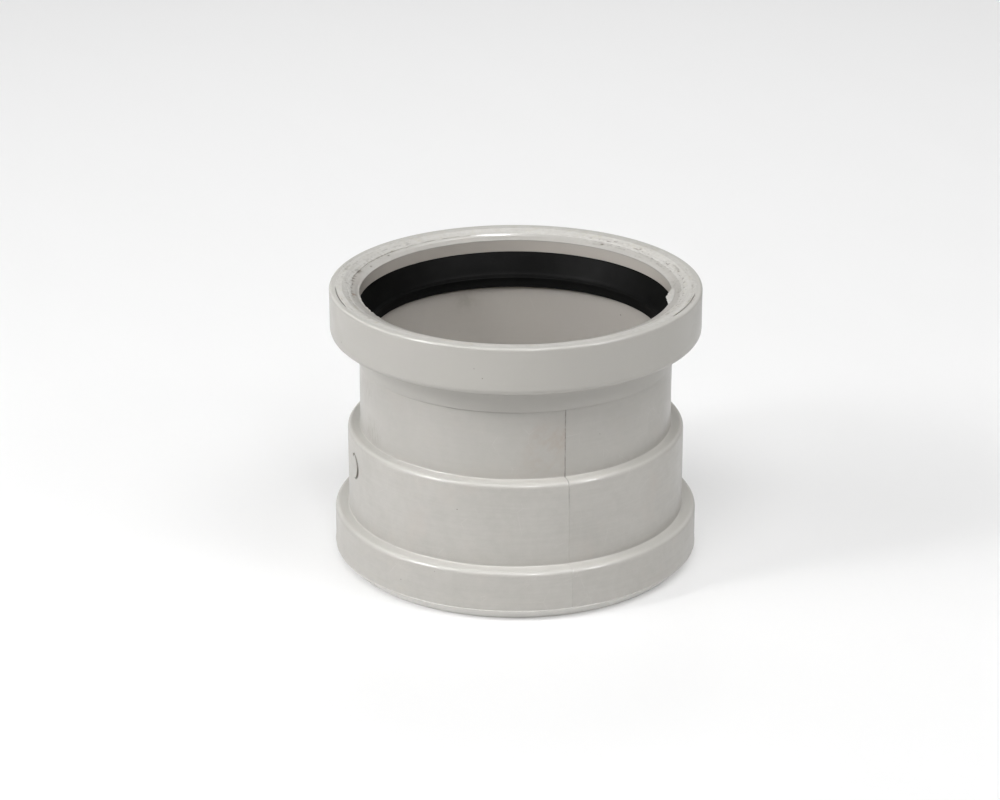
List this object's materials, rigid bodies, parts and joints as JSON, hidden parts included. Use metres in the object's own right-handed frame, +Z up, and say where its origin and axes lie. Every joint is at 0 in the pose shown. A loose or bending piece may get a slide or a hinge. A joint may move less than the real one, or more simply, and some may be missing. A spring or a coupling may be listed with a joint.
{
  "type": "push fit coupling",
  "caption": "Short unequal push-fit pipe coupling: stepped PVC tube with a flanged collar and black rubber lip seals, for a smaller pipe above and a larger one below.",
  "frame": {"origin": "centre of the bottom face, which the coupling stands on", "axes": "+Z up along the common axis of both sockets, towards the smaller socket; -Y is the front; the mould's parting lines are at 17.5 degrees from -Y towards +X, and opposite"},
  "size_m": [0.2, 0.2, 0.1535],
  "materials": {
    "grey_pvc": "moulded light warm grey PVC, semi-gloss, lightly soiled",
    "cut_pvc": "cut and cemented PVC face, matt, rough, with grime in the seams",
    "smooth_pvc": "smooth PVC, semi-gloss",
    "seal_rubber": "black moulded rubber, satin"
  },
  "bodies": {
    "root": {"coupling_body": "grey_pvc", "upper_collar": "grey_pvc", "upper_retaining_ring": "cut_pvc", "upper_mouth_ring": "smooth_pvc", "upper_seal": "seal_rubber", "lower_seal": "seal_rubber", "lower_end_ring": "grey_pvc"}
  },
  "joints": []
}
